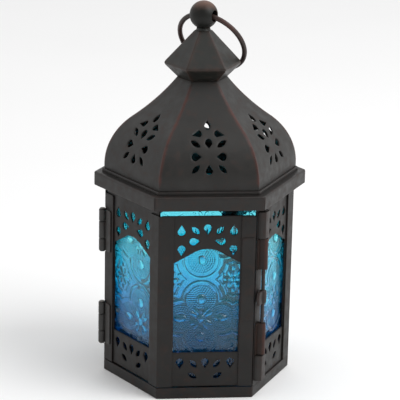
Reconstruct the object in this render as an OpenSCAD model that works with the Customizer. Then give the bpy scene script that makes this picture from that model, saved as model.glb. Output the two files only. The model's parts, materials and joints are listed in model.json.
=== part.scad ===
// Candle lantern: a six-sided pierced metal body with patterned glass, a two-sided hinged door,
// an onion dome on an overhanging collar, a small peaked cap, and a ball finial with a wire ring.
// The front face looks along -Y, the hinged corner is at -X, and the foot stands at z = 0.

/* [Body] */
// Distance from the centre line to a corner of the body
corner_r = 46; // [44:0.5:50]
// Thickness of the sheet metal
sheet = 0.8; // [0.6:0.1:1]
// Height of the rim around the base tray
rim_h = 5.5; // [4:0.5:7]
// Height of the top edge of the door
door_top = 91.4; // [90:0.2:93]
// Height of the top edge of the door's left panel, behind its corner strips
left_panel_top = 94.6; // [92:0.1:95]
// Width of the strips along each corner
strip_w = 7.1; // [6:0.1:8]

/* [Windows] */
// Half the width of a window
window_half = 15.6; // [14:0.1:16.2]
// Height of the sill of a window
sill_z = 23.2; // [22:0.1:25]
// Height where the straight sides of a window end
spring_z = 69.2; // [66:0.1:70]
// Height of the peak of a window
peak_z = 75.1; // [74:0.1:76]
// Radius that rounds the peak of a window
peak_r = 14; // [8:1:20]
// Thickness of a glass pane
glass_t = 2; // [1.5:0.1:2.2]

/* [Roof] */
// Distance from the centre line to a corner of the collar
collar_r = 51.3; // [50.5:0.1:53]
// Height of the lower edge of the collar
collar_z = 95.4; // [95:0.2:97]
// Height of the band of the collar
collar_h = 6.7; // [6:0.1:8]
// Height of the step that the dome stands on
ledge_h = 1.6; // [1:0.1:2]
// Distance from the centre line to a corner of the dome at its foot
dome_r = 46.4; // [45:0.1:47]
// Straight height of the dome's foot, below its shoulder
dome_foot = 2.1; // [1:0.1:3]
// Radius of the dome's outward-curved shoulder
shoulder_r = 30.2; // [29.5:0.1:31]
// Angle through which the shoulder turns
shoulder_turn = 52; // [50:1:54]
// Distance from the centre line to a corner of the dome at its neck
neck_r = 12; // [11:0.1:13]
// Height of the dome's neck
neck_z = 148.7; // [148:0.1:149.4]

/* [Cap and finial] */
// Distance from the centre line to the widest corner of the cap
cap_r = 18.9; // [18.3:0.1:19.2]
// Height of the widest edge of the cap
cap_z = 155.4; // [155:0.1:156]
// Height of the top of the cap
cap_top_z = 171.2; // [171:0.1:171.6]
// Distance from the centre line to a corner of the cap's top
cap_top_r = 4.1; // [3.8:0.1:4.3]
// Radius of the ball finial
ball_r = 6.7; // [6.5:0.1:7]
// Height of the centre of the ball
ball_z = 178.5; // [178:0.1:179]
// Radius of the cross bore in the ball
bore_r = 2.7; // [2.6:0.05:3]
// Direction of the cross bore, in degrees from +X
bore_az = -35; // [-45:1:-25]

/* [Ring] */
// Radius of the ring, to the middle of its wire
ring_r = 17; // [16.5:0.1:17.5]
// Radius of the ring's wire
wire_r = 1.2; // [1:0.05:1.2]
// Lean of the hanging ring from straight down, in degrees
ring_lean = 31; // [31:0.1:33]

/* [Hinges] */
// Distance from the centre line to the hinge axis
hinge_r = 47; // [46.8:0.1:47.5]
// Radius of a hinge knuckle
knuckle_r = 1.75; // [1.6:0.05:1.8]
// Radius of a hinge pin
pin_r = 0.8; // [0.7:0.05:0.9]
// Length of one hinge
hinge_len = 20.9; // [18:0.1:22]
// Height of the lower end of the upper hinge
upper_hinge_z = 62.2; // [58:0.1:64]
// Height of the lower end of the lower hinge
lower_hinge_z = 14.5; // [12:0.1:20]
// Width of a hinge leaf
leaf_w = 5.5; // [4:0.1:6]

/* [Latch] */
// Distance of the latch rod from the corner, along the face
rod_along = 4.7; // [4.3:0.1:5.5]
// Distance of the latch rod from the face
rod_out = 2; // [1.9:0.05:2.2]
// Radius of the latch rod
rod_r = 0.9; // [0.8:0.05:1]
// Height of the middle of the latch tongue
tongue_z = 50.3; // [48:0.1:54]
// Height of the latch tongue
tongue_h = 6.4; // [5:0.1:8]
// Height where the lower sleeve meets the lower keeper
lower_sleeve_z = 21.2; // [20:0.1:23]
// Length of the lower sleeve
lower_sleeve_l = 15.8; // [12:0.1:16]
// Height of the lower end of the upper sleeve
upper_sleeve_z = 64.1; // [60:0.1:66]
// Length of the upper sleeve
upper_sleeve_l = 15.4; // [12:0.1:16]

/* [Candle cup] */
// Inner radius of the candle cup
cup_r = 19.75; // [19.5:0.05:20.5]
// Height of the candle cup
cup_h = 8; // [6:0.5:12]

/* [Hidden] */
SIDES = ["right_front", "right_back", "back", "left_back"];
PETALS = ["front", "right_front", "right_back", "back", "left_back", "left_front"];
$fn = 64;

IRON = "#3a3836";
COPPER = "#7a5048";
GLASS = "#3c9fc8";
BRIGHT = "#8a8a88";

cos30 = cos(30);
apothem = corner_r * cos30;
seam = 0.25;                      // half the gap between the door and the fixed frame
lift = 0.5;                       // gap below the door
plate_z = collar_z + collar_h - sheet;   // underside of the plate that closes the collar
panel_half = 21.6;
glass_half = 19.8;
glass_low = 8;
glass_high = 89.5;
clip_t = 0.4;
clip_h = 5;
clip_reach = 2.5;                 // how far a clip reaches over the back of its pane
clip_heights = [28, 66];
plate_w = 3.2;                    // how far the closing plate reaches in from the foot of the dome
ledge_out = 1.1;                  // how far the ledge stands out beyond the dome
running = 0.07;                   // radial play of a pin or rod in its bore
knuckle_end = 6.1;                // length of the two end knuckles
knuckle_gap = 0.3;
relief_r = knuckle_r + 0.35;
sleeve_r = 1.85;
sleeve_gap = 0.4;                 // between a sleeve and its keeper
rod_z = 7.6;                      // lower end of the latch rod
rod_l = 85.8;
drop_l = 5.2;                     // length of a drop-shaped hole
drop_w = 3.7;                     // width of a drop-shaped hole
leaf_l = 4.9;                     // length of a leaf-shaped hole
leaf_hole_w = 2.5;
flower_z = 119.4;                 // height of the middle of the flower on each petal
stem_r = 3.55;
stem_top = cap_top_z + 1.2;

// Places a flat outline on side k: x runs along the side, y is height, depth is below the surface.
module on_side(k, depth, thick) {
    rotate([0, 0, 60 * k]) translate([0, -(apothem - depth - thick), 0]) rotate([90, 0, 0])
        linear_extrude(thick) children();
}

module hexagon(r) { circle(r, $fn = 6); }

module hex_ring(r_out, r_in, h) {
    linear_extrude(h) difference() {
        hexagon(r_out);
        hexagon(r_in);
    }
}

// Drop-shaped outline with its point towards +y, centred on the origin.
module drop(l = drop_l, w = drop_w) {
    r = w / 2;
    polygon(concat([[0, l / 2]], [for (a = [165 : 30 : 375]) r * [cos(a), sin(a)] + [0, r - l / 2]]));
}

// Leaf-shaped outline along y: two arcs that meet in points.
module leaf(l = leaf_l, w = leaf_hole_w) {
    r = (l * l / 4 + w * w / 4) / w;
    intersection() {
        translate([r - w / 2, 0]) circle(r);
        translate([w / 2 - r, 0]) circle(r);
    }
}

module mirrored() {
    children();
    mirror([1, 0]) children();
}

// Window outline: straight sides, a low gable, and a rounded peak.
module window() {
    slope = atan2(peak_z - spring_z, window_half);
    peak_cut = peak_r * (1 / cos(slope) - 1);
    gable = [[-window_half, spring_z - peak_cut], [-window_half, sill_z], [window_half, sill_z],
        [window_half, spring_z - peak_cut]];
    top = [for (a = [90 - slope : slope / 4 : 90 + slope])
        peak_r * [cos(a), sin(a)] + [0, peak_z - peak_r]];
    polygon(concat(gable, top));
}

// The pierced holes above and below the window of every side.
module side_holes() {
    mirrored() {
        translate([12.3, 84.3]) drop();
        translate([12.2, 74.3]) rotate(180) drop();
        translate([5.7, 84.2]) rotate(-45) leaf();
        translate([5.9, 78.8]) rotate(84) drop();
        translate([12.1, 17.6]) rotate(180) drop();
        translate([5.6, 17.4]) rotate(-40) leaf();
        translate([6, 11.4]) rotate(-58) leaf();
    }
    translate([0, 84.6]) rotate(180) drop();
    translate([0, 17.6]) rotate(180) drop();
}

module panel(k, low, high) {
    color(IRON) on_side(k, sheet, sheet) difference() {
        translate([-panel_half, low]) square([2 * panel_half, high - low]);
        window();
        side_holes();
    }
}

module pane(k) {
    color(GLASS, 0.5) on_side(k, 2 * sheet, glass_t)
        translate([-glass_half, glass_low]) square([2 * glass_half, glass_high - glass_low]);
}

// Four bent clips that hold a pane against its panel.
module pane_clips(k) {
    reach = 2 * sheet + glass_t + clip_t;
    back = apothem - 2 * sheet;
    beside = glass_half + 0.1;
    color(IRON) rotate([0, 0, 60 * k]) for (side = [-1, 1], z = clip_heights)
        translate([0, 0, z]) linear_extrude(clip_h) scale([side, 1])
            polygon([[beside, -back], [beside + clip_t, -back],
                [beside + clip_t, reach - apothem], [glass_half - clip_reach, reach - apothem],
                [glass_half - clip_reach, reach - clip_t - apothem], [beside, reach - clip_t - apothem]]);
}

// One leg of a corner strip in plan, beside the corner at +X, held back by gap from the corner plane.
function leg_plan(gap) = [[corner_r - gap / tan(60), gap], [corner_r - strip_w / 2, strip_w * cos30],
    [corner_r - strip_w / 2 - sheet * cos30, strip_w * cos30 - sheet / 2],
    [corner_r - sheet / cos30 - gap / tan(60), gap]];

// A strip folded round the corner at azimuth az, or one leg of it on the right or left seen from outside.
module corner_strip(az, low, high, right, left) {
    leg = leg_plan(seam);
    fold = [[corner_r, 0], leg[1], leg[2], [corner_r - sheet / cos30, 0],
        [leg[2][0], -leg[2][1]], [leg[1][0], -leg[1][1]]];
    color(IRON) rotate([0, 0, az]) translate([0, 0, low]) linear_extrude(high - low)
        if (right && left) polygon(fold);
        else mirror([0, right ? 0 : 1]) polygon(leg);
}

module hinge_relief() {
    for (z = [lower_hinge_z, upper_hinge_z])
        translate([-hinge_r, 0, z - 0.9]) cylinder(r = relief_r, h = hinge_len + 1.8);
}

module base_tray() {
    color(IRON) union() {
        linear_extrude(sheet) hexagon(corner_r);
        hex_ring(corner_r, corner_r - sheet / cos30, rim_h);
    }
}

module candle_cup() {
    wall = 0.6;
    color(BRIGHT) translate([0, 0, sheet]) difference() {
        cylinder(r = cup_r + wall, h = cup_h);
        translate([0, 0, wall]) cylinder(r = cup_r, h = cup_h);
    }
}

module collar() {
    color(IRON) union() {
        translate([0, 0, collar_z]) hex_ring(collar_r, collar_r - sheet / cos30, collar_h);
        translate([0, 0, plate_z]) hex_ring(collar_r, dome_r - plate_w, sheet);
    }
}

module dome_ledge() {
    color(IRON) translate([0, 0, plate_z + sheet]) hex_ring(dome_r + ledge_out, dome_r - plate_w, ledge_h);
}

// The dome's wall in profile, x outward from the centre line and y up: an outward-curved shoulder
// that runs smoothly into a hollow-curved flank up to the neck.
module dome_wall() {
    foot = dome_r * cos30;
    foot_z = plate_z + sheet + ledge_h;
    hub = [foot - shoulder_r, foot_z + dome_foot];
    join = hub + shoulder_r * [cos(shoulder_turn), sin(shoulder_turn)];
    neck = [neck_r * cos30, neck_z];
    chord = neck - join;
    bend = shoulder_turn - atan2(-chord[0], chord[1]);
    flank_r = norm(chord) / 2 / sin(bend);
    flank_hub = join + flank_r * [cos(shoulder_turn), sin(shoulder_turn)];
    far = 2 * foot;
    translate([foot - sheet, foot_z]) square([sheet, dome_foot]);
    intersection() {
        translate(hub) difference() {
            circle(shoulder_r, $fn = 128);
            circle(shoulder_r - sheet, $fn = 128);
        }
        translate(hub) polygon([[0, 0], [far, 0], [far, far * tan(shoulder_turn)]]);
    }
    intersection() {
        translate(flank_hub) difference() {
            circle(flank_r + sheet, $fn = 256);
            circle(flank_r, $fn = 256);
        }
        translate(flank_hub) polygon([[0, 0],
            -2 * flank_r * [cos(shoulder_turn), sin(shoulder_turn)],
            -2 * flank_r * [cos(shoulder_turn - 2 * bend), sin(shoulder_turn - 2 * bend)]]);
        translate([0, foot_z]) square([foot, neck_z - foot_z]);
    }
}

// The pierced flower and the drops above it, on the front of one petal.
module petal_holes() {
    translate([0, flower_z]) {
        translate([0, -5.6]) drop(4.6, 3.4);
        translate([0, 5.4]) rotate(180) drop(3.9, 3.4);
        translate([0, 12.3]) drop(3.4, 2.9);
        mirrored() {
            translate([5.8, 0]) rotate(90) drop(4.8, 3.6);
            translate([6.1, 5.3]) rotate(-60) leaf(5.2, 2.2);
            translate([6.3, -5.4]) rotate(45) leaf(5.2, 2.2);
            translate([5.3, 9]) rotate(-100) drop(4.8, 2.5);
        }
    }
}

// One folded wall of the dome, mitred against its neighbours.
module petal(k) {
    wide = 2 * corner_r;
    color(IRON) rotate([0, 0, 60 * k]) difference() {
        intersection() {
            translate([wide / 2, 0, 0]) rotate([90, 0, -90]) linear_extrude(wide) dome_wall();
            linear_extrude(neck_z + 1) polygon([[0, 0], [-wide, -wide / tan(30)], [wide, -wide / tan(30)]]);
        }
        translate([0, -dome_r / 2, 0]) rotate([90, 0, 0]) linear_extrude(corner_r) petal_holes();
    }
}

// The cap's lower part: a hollow frustum that widens upward from the dome's neck.
module cap_under() {
    inset = sheet / cos30;
    color(IRON) translate([0, 0, neck_z]) difference() {
        linear_extrude(cap_z - neck_z, scale = cap_r / neck_r) hexagon(neck_r);
        translate([0, 0, sheet])
            linear_extrude(cap_z - neck_z, scale = (cap_r - inset) / (neck_r - inset))
                hexagon(neck_r - inset);
    }
}

// The cap's roof: a hollow frustum with a closed top.
module cap_roof() {
    rise = cap_top_z - cap_z;
    inset = sheet / cos30;
    color(IRON) translate([0, 0, cap_z]) difference() {
        linear_extrude(rise, scale = cap_top_r / cap_r) hexagon(cap_r);
        translate([0, 0, -0.01]) linear_extrude(rise - sheet, scale = (cap_top_r + 0.3) / cap_r)
            hexagon(cap_r - inset);
    }
}

module finial_stem() {
    color(IRON) translate([0, 0, cap_top_z]) cylinder(r = stem_r, h = stem_top - cap_top_z);
}

// The ball stands on a small flat and has a cross bore for the ring.
module finial_ball() {
    color(COPPER) difference() {
        translate([0, 0, ball_z]) sphere(ball_r);
        translate([-ball_r, -ball_r, stem_top - 2 * ball_r]) cube(2 * ball_r);
        translate([0, 0, ball_z]) rotate([0, 0, bore_az]) rotate([0, 90, 0])
            cylinder(r = bore_r, h = 3 * ball_r, center = true);
    }
}

// The ring passes through the ball and hangs back over the cap.
module ring() {
    color(COPPER) translate([0, 0, ball_z]) rotate([0, 0, bore_az]) rotate([ring_lean, 0, 0])
        translate([0, 0, -ring_r]) rotate([90, 0, 0]) rotate_extrude($fn = 96)
            translate([ring_r, 0]) circle(wire_r, $fn = 32);
}

// A hinge in its own frame: the pin's axis is +Z through the origin and the leaf runs along the side
// that turns by turn degrees from the axis plane. ends is true for the leaf with the two end knuckles.
module hinge_leaf(turn, ends) {
    leaf_plate = 0.6;
    off = (hinge_r - corner_r) * cos30;
    start = (hinge_r - corner_r) / 2 + 0.2;
    middle = hinge_len - 2 * knuckle_end;
    low_end = knuckle_end - knuckle_gap / 2;
    own = ends ? [[0, low_end], [hinge_len - low_end, low_end]]
        : [[knuckle_end + knuckle_gap / 2, middle - knuckle_gap]];
    other = ends ? [[knuckle_end - knuckle_gap / 2, middle + knuckle_gap]]
        : [[-1, knuckle_end + 1 + knuckle_gap / 2],
            [hinge_len - knuckle_end - knuckle_gap / 2, knuckle_end + 2]];
    color(IRON) difference() {
        union() {
            rotate([0, 0, turn]) translate([start, turn > 0 ? -off : off - leaf_plate, 0])
                cube([leaf_w, leaf_plate, hinge_len]);
            for (k = own) translate([0, 0, k[0]]) cylinder(r = knuckle_r, h = k[1]);
        }
        translate([0, 0, -1]) cylinder(r = pin_r + running, h = hinge_len + 2);
        for (k = other) translate([0, 0, k[0]]) cylinder(r = relief_r, h = k[1]);
    }
}

module hinge_place(z) { translate([-hinge_r, 0, z]) children(); }
module hinge_fixed_leaf(z) { hinge_place(z) hinge_leaf(60, true); }
module hinge_door_leaf(z) { hinge_place(z) hinge_leaf(-60, false); }

module hinge_pin(z) {
    head_h = 0.5;
    head_r = 1.4;
    slack = 0.05;
    color(BRIGHT) hinge_place(z) union() {
        translate([0, 0, -slack]) cylinder(r = pin_r, h = hinge_len + 2 * slack);
        for (end = [-head_h - slack, hinge_len + slack])
            translate([0, 0, end]) cylinder(r = head_r, h = head_h);
    }
}

// Latch frame: x runs along the right-front side away from the corner, y points out of the side.
module latch_place() {
    rotate([0, 0, -60]) translate([corner_r, 0, 0]) rotate([0, 0, 120]) mirror([0, 1, 0]) children();
}

module rod_bore(low, high) {
    translate([rod_along, rod_out, low - 1]) cylinder(r = rod_r + running, h = high - low + 2);
}

module latch_keepers() {
    keeper_w = 6.6;
    keeper_start = 1.3;
    keeper_out = 3.5;
    keeper_edge = 1.2;
    keeper_side = 1.4;
    outline = [[keeper_start, 0], [keeper_start, keeper_side], [keeper_start + keeper_edge, keeper_out],
        [keeper_start + keeper_w - keeper_edge, keeper_out], [keeper_start + keeper_w, keeper_side],
        [keeper_start + keeper_w, 0]];
    upper_z = upper_sleeve_z + upper_sleeve_l + sleeve_gap;
    upper_l = 13;
    spans = [[rod_z + 0.5, lower_sleeve_z - sleeve_gap], [upper_z, upper_z + upper_l]];
    color(IRON) latch_place() for (z = spans) difference() {
        translate([0, 0, z[0]]) linear_extrude(z[1] - z[0]) polygon(outline);
        rod_bore(z[0], z[1]);
    }
}

// Each sleeve is rolled round the rod and has a flat tab against the side.
module latch_sleeves() {
    tab_start = 1;
    tab_t = 0.6;
    color(COPPER) latch_place()
        for (s = [[lower_sleeve_z, lower_sleeve_l], [upper_sleeve_z, upper_sleeve_l]]) difference() {
            union() {
                translate([rod_along, rod_out, s[0]]) cylinder(r = sleeve_r, h = s[1]);
                translate([tab_start, 0, s[0]]) cube([rod_along - tab_start, tab_t, s[1]]);
            }
            rod_bore(s[0], s[0] + s[1]);
        }
}

module latch_rod() {
    color(IRON) latch_place() translate([rod_along, rod_out, rod_z]) cylinder(r = rod_r, h = rod_l);
}

// A rounded tongue on the rod that reaches across the seam in front of the door's edge.
module latch_tongue() {
    boss_r = 1.75;
    reach = rod_along + 1.2;
    tongue_t = 1.5;
    tongue_back = 0.9;                // from the rod's axis to the back of the tongue
    color(IRON) latch_place() translate([rod_along, rod_out, tongue_z]) difference() {
        union() {
            translate([0, 0, -tongue_h / 2]) cylinder(r = boss_r, h = tongue_h);
            translate([0, -tongue_back, 0]) rotate([-90, 0, 0]) linear_extrude(tongue_t) intersection() {
                translate([-reach, -tongue_h / 2]) square([reach, tongue_h]);
                circle(reach);
            }
        }
        translate([0, 0, -tongue_h]) cylinder(r = rod_r, h = 2 * tongue_h);
    }
}

module door_strip(az, right, left) {
    difference() {
        corner_strip(az, rim_h + lift, door_top, right, left);
        hinge_relief();
    }
}

module fixed_strip(az, right, left) {
    difference() {
        corner_strip(az, rim_h, plate_z, right, left);
        hinge_relief();
    }
}

// A long thin plate on the door's front panel and latch stile, beside the latch.
module strike_plate() {
    plate_t = 0.4;
    strike_low = 39.5;
    strike_size = [5.9, 41.2];
    color(IRON) on_side(0, -plate_t, plate_t) translate([window_half + 0.6, strike_low]) square(strike_size);
}

base_tray();
candle_cup();
fixed_strip(0, true, true);  // post_right
fixed_strip(60, true, true);  // post_back_right
fixed_strip(120, true, true);  // post_back_left
fixed_strip(-60, true, false);  // latch_jamb
fixed_strip(180, false, true);  // hinge_jamb
for (k = [1 : 4]) pane_clips(k);  // glass_clips
collar();
dome_ledge();
for (i = [0 : 3]) panel(i + 1, sheet, plate_z);
for (i = [0 : 3]) pane(i + 1);
for (i = [0 : 5]) petal(i);
cap_under();
cap_roof();
finial_stem();
finial_ball();
ring();
door_strip(180, true, false);  // door_hinge_stile
door_strip(240, true, true);  // door_fold_angle
door_strip(-60, false, true);  // door_latch_stile
panel(5, rim_h + lift, left_panel_top);  // door_left_panel
panel(0, rim_h + lift, door_top);  // door_front_panel
pane(5);  // door_left_glass
pane(0);  // door_front_glass
for (k = [0, 5]) pane_clips(k);  // door_glass_clips
strike_plate();
latch_keepers();
latch_sleeves();
latch_rod();
latch_tongue();
hinge_fixed_leaf(upper_hinge_z);  // upper_hinge_fixed_leaf
hinge_door_leaf(upper_hinge_z);  // upper_hinge_door_leaf
hinge_pin(upper_hinge_z);  // upper_hinge_pin
hinge_fixed_leaf(lower_hinge_z);  // lower_hinge_fixed_leaf
hinge_door_leaf(lower_hinge_z);  // lower_hinge_door_leaf
hinge_pin(lower_hinge_z);  // lower_hinge_pin
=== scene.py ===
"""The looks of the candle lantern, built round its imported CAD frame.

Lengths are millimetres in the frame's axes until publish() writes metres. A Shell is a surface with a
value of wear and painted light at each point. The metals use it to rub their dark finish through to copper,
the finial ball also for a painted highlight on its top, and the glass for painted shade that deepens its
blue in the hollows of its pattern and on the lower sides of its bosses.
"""
import json
import math

import bpy
import numpy as np
from mathutils import Matrix, Vector, geometry


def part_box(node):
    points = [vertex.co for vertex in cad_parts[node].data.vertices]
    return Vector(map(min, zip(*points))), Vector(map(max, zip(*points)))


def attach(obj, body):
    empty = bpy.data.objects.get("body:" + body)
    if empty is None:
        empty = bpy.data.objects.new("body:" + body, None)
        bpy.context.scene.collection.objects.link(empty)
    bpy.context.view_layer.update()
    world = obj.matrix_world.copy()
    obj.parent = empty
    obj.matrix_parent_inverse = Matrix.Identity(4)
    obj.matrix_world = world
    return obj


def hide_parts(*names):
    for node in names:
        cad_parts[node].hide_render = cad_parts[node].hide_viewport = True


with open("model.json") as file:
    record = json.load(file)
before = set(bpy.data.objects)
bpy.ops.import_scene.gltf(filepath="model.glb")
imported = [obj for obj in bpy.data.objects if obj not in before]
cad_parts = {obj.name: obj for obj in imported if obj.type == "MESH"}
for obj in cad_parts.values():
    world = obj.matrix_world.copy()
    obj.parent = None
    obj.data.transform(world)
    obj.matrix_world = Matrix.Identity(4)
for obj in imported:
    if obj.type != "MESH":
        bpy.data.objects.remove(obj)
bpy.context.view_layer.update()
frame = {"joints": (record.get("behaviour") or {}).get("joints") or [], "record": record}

MM = 0.001
COS30 = math.cos(math.radians(30))
TAN30 = math.tan(math.radians(30))


# ---- Sizes, from the frame where it holds them ----

def low(node):
    return np.array(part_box(node)[0]) / MM


def high(node):
    return np.array(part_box(node)[1]) / MM


CORNER_R = high("base_tray")[0]
FLAT_R = CORNER_R * COS30                       # from the centre line to a side
HALF_SIDE = CORNER_R / 2
SHEET = high("panel_back")[1] - low("panel_back")[1]
RIM_H = high("base_tray")[2]
GLASS_T = high("glass_back")[1] - low("glass_back")[1]
GLASS_HALF = high("glass_back")[0]
PANEL_HALF = high("panel_back")[0]
STRIP_W = 7.1
SEAM = 0.29                                     # from a corner to the edge of a strip beside the door
WINDOW_HALF, SILL_Z, SPRING_Z, PEAK_Z, PEAK_R = 15.6, 23.2, 69.2, 75.1, 14
FLOWER_Z = 119.4
CAP_NECK_R, CAP_TOP_R = 12, 4.1                 # corner radii where the cap leaves the dome and at its top
SIDES = {"front": 0, "right_front": 1, "right_back": 2, "back": 3, "left_back": 4, "left_front": 5}


# ---- Shells ----

class Shell:
    """Points as (x, y, z), faces as tuples of point numbers, and at each point a value of wear and painted
    light.
    """

    def __init__(self, points, faces, wear_and_painted_light):
        self.points = np.asarray(points, float)
        self.faces = [tuple(int(i) for i in f) for f in faces]
        self.wear_and_painted_light = np.broadcast_to(np.asarray(wear_and_painted_light, float), (len(self.points),)).copy()

    def placed(self, place):
        """The shell with its points passed through place; it keeps its faces and its value of wear and
        painted light at each point.
        """
        return Shell(place(self.points), self.faces, self.wear_and_painted_light)


def joined(shells):
    points, faces, wear_and_painted_light, start = [], [], [], 0
    for s in shells:
        points.append(s.points)
        wear_and_painted_light.append(s.wear_and_painted_light)
        faces += [tuple(i + start for i in f) for f in s.faces]
        start += len(s.points)
    return Shell(np.concatenate(points), faces, np.concatenate(wear_and_painted_light))


def polar(radius, degrees):
    a = np.radians(degrees)
    return np.stack([radius * np.cos(a), radius * np.sin(a)], -1)


def resampled(loop, step):
    """The closed loop with its long edges cut into lengths of at most step."""
    parts = []
    for a, b in zip(loop, np.roll(loop, -1, 0)):
        n = max(1, math.ceil(np.linalg.norm(b - a) / step - 1e-6))
        parts.append(a + (b - a) * (np.arange(n) / n)[:, None])
    return np.concatenate(parts)


def turned_way(loop, anticlockwise):
    x, y = np.asarray(loop, float).T
    area = (x * np.roll(y, -1) - np.roll(x, -1) * y).sum()
    return np.asarray(loop, float) if (area > 0) == anticlockwise else np.asarray(loop, float)[::-1]


def moved_left(loop, distance):
    """The loop moved to its left by distance, with the reach at a sharp point limited."""
    ahead = np.roll(loop, -1, 0) - loop
    ahead /= np.linalg.norm(ahead, axis=1)[:, None]
    bisector = ahead + np.roll(ahead, 1, 0)
    bisector /= np.linalg.norm(bisector, axis=1)[:, None]
    left = np.stack([-bisector[:, 1], bisector[:, 0]], -1)
    lean = np.clip((bisector * ahead).sum(1), 0.5, 1)
    return loop + left * (distance / lean)[:, None]


def inside(points, loops):
    crossings = np.zeros(len(points), int)
    x, y = points[:, :1], points[:, 1:]
    for loop in loops:
        a, b = loop, np.roll(loop, -1, 0)
        rise = np.where(b[:, 1] == a[:, 1], 1, b[:, 1] - a[:, 1])
        spans = (a[:, 1] > y) != (b[:, 1] > y)
        crossings += (spans & (x < a[:, 0] + (y - a[:, 1]) * (b[:, 0] - a[:, 0]) / rise)).sum(1)
    return crossings % 2 == 1


def distance_to(points, targets):
    return np.array([np.sqrt(((targets - p) ** 2).sum(1).min()) for p in points])


def lattice(loop, step):
    """Points of a triangular lattice over the loop's box."""
    (x0, y0), (x1, y1) = loop.min(0), loop.max(0)
    rows = np.arange(y0 + step / 2, y1, step * COS30)
    cells = np.arange(x0, x1, step)
    return np.array([[x + step / 2 * (i % 2), y] for i, y in enumerate(rows) for x in cells]).reshape(-1, 2)


def plate(outer, holes=(), thick=SHEET, step=1.0, edge=0.15, lip=0.12, rim_wear=None):
    """A flat plate with softened edges, as (across, up, depth) points: its front is at depth 0.

    The flat faces end edge inside the outline, and the rim begins lip below them. rim_wear is a function of
    the rim's points; without it the outer edge is worn and the holes' edges hardly are.
    """
    clear, fade = 0.55 * step, 0.9              # of the filling from the edges, and of the wear inwards
    loops = [resampled(turned_way(outer, True), step)]
    loops += [resampled(turned_way(hole, False), step) for hole in holes]
    insets = [moved_left(loop, edge) for loop in loops]
    rims = np.concatenate(loops)
    filling = lattice(loops[0], step)
    filling = filling[inside(filling, insets)]
    filling = filling[distance_to(filling, np.concatenate(insets)) > clear]
    flat = np.concatenate(insets + [filling])
    edges, ring_starts, start = [], [], 0
    for loop in loops:
        n = len(loop)
        edges += [(start + i, start + (i + 1) % n) for i in range(n)]
        ring_starts.append(start)
        start += n
    vectors = [Vector(p) for p in flat]
    found, _, triangles, origins, _, _ = geometry.delaunay_2d_cdt(vectors, edges, [], 0, 1e-7)
    spot = {i: j for j, ids in enumerate(origins) for i in ids}
    flat = np.array([tuple(p) for p in found])
    triangles = np.array(triangles)
    a, b, c = flat[triangles[:, 0]], flat[triangles[:, 1]], flat[triangles[:, 2]]
    turn = (b - a)[:, 0] * (c - a)[:, 1] - (b - a)[:, 1] * (c - a)[:, 0]
    triangles[turn < 0] = triangles[turn < 0][:, ::-1]
    triangles = triangles[inside((a + b + c) / 3, insets) & (abs(turn) > 1e-9)]
    n, m = len(flat), len(rims)

    def at(points, depth):
        return np.column_stack([points, np.full(len(points), depth)])

    points = np.concatenate([at(flat, 0), at(flat, thick), at(rims, lip), at(rims, thick - lip)])
    faces = triangles.tolist() + (triangles[:, ::-1] + n).tolist()
    for loop, start in zip(loops, ring_starts):
        for i in range(len(loop)):
            ends = start + i, start + (i + 1) % len(loop)
            here, there = [(spot[e], 2 * n + e, 2 * n + m + e, n + spot[e]) for e in ends]
            faces += [(here[k], here[k + 1], there[k + 1], there[k]) for k in range(3)]
    near = np.exp(-distance_to(flat, loops[0]) / fade)
    if rim_wear is None:
        worn = np.where(np.arange(m) < len(loops[0]), 1.0, 0.1)
    else:
        worn, near = rim_wear(rims), near * 0.4
    return Shell(points, faces, np.concatenate([near, near, worn, worn]))


def loft(rings, closed=False):
    """Skin over rings of the same count of (x, y, z, wear) points; open ends are capped with a fan."""
    rings = [np.asarray(r, float) for r in rings]
    n, count = len(rings[0]), len(rings)
    points = np.concatenate(rings)
    faces = []
    for k in range(count if closed else count - 1):
        a, b = k * n, (k + 1) % count * n
        faces += [(a + i, a + (i + 1) % n, b + (i + 1) % n, b + i) for i in range(n)]
    if not closed:
        points = np.concatenate([points, [rings[0].mean(0), rings[-1].mean(0)]])
        first, last = count * n, count * n + 1
        faces += [(first, (i + 1) % n, i) for i in range(n)]
        faces += [(last, (count - 1) * n + i, (count - 1) * n + (i + 1) % n) for i in range(n)]
    return Shell(points[:, :3], faces, points[:, 3])


def hexagon_ring(reach, z, rounding, wear_and_painted_light, groove=0.0):
    """A rounded hexagon whose flats are reach from the centre line, with more points near its corners."""
    path = []
    fade = 1.3                                  # of the wear along a side
    hub = (reach - rounding) / COS30            # as long as the straight part of a side
    near = [min(0.4, 0.1 * hub) / hub, min(1.4, 0.2 * hub) / hub, min(3.5, 0.35 * hub) / hub]
    shares = near + [0.5] + [1 - share for share in near[::-1]]
    for corner in range(6):
        centre = polar(hub, 60 * corner)
        for turn in (-30, -15, 0, 15, 30):
            r = rounding - (groove if turn == 0 else 0)
            path.append([*(centre + polar(r, 60 * corner + turn)), z, 1.0])
        start = centre + polar(rounding, 60 * corner + 30)
        end = polar(hub, 60 * (corner + 1)) + polar(rounding, 60 * corner + 30)
        for share in shares:
            worn = math.exp(-min(share, 1 - share) * hub / fade)
            path.append([*(start + (end - start) * share), z, worn])
    path = np.array(path)
    path[:, 3] = np.maximum(path[:, 3], wear_and_painted_light)
    return path


def hexagon_loft(profile, closed=False, groove=0.0):
    """Loft of hexagons given as (flat reach, height, corner rounding, wear)."""
    return loft([hexagon_ring(*row, groove=groove) for row in profile], closed)


def turned(profile, closed=False, count=48):
    """Loft of circles round the z axis given as (radius, height, wear)."""
    angles = np.arange(count) * 360 / count
    return loft([np.column_stack([polar(r, angles), np.full(count, z), np.full(count, w)])
                 for r, z, w in profile], closed)


# ---- Placing ----

def spun(degrees):
    """Turns points about the z axis."""
    a = math.radians(degrees)
    return lambda p: np.column_stack([p[:, 0] * math.cos(a) - p[:, 1] * math.sin(a),
                                      p[:, 0] * math.sin(a) + p[:, 1] * math.cos(a), p[:, 2]])


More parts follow.
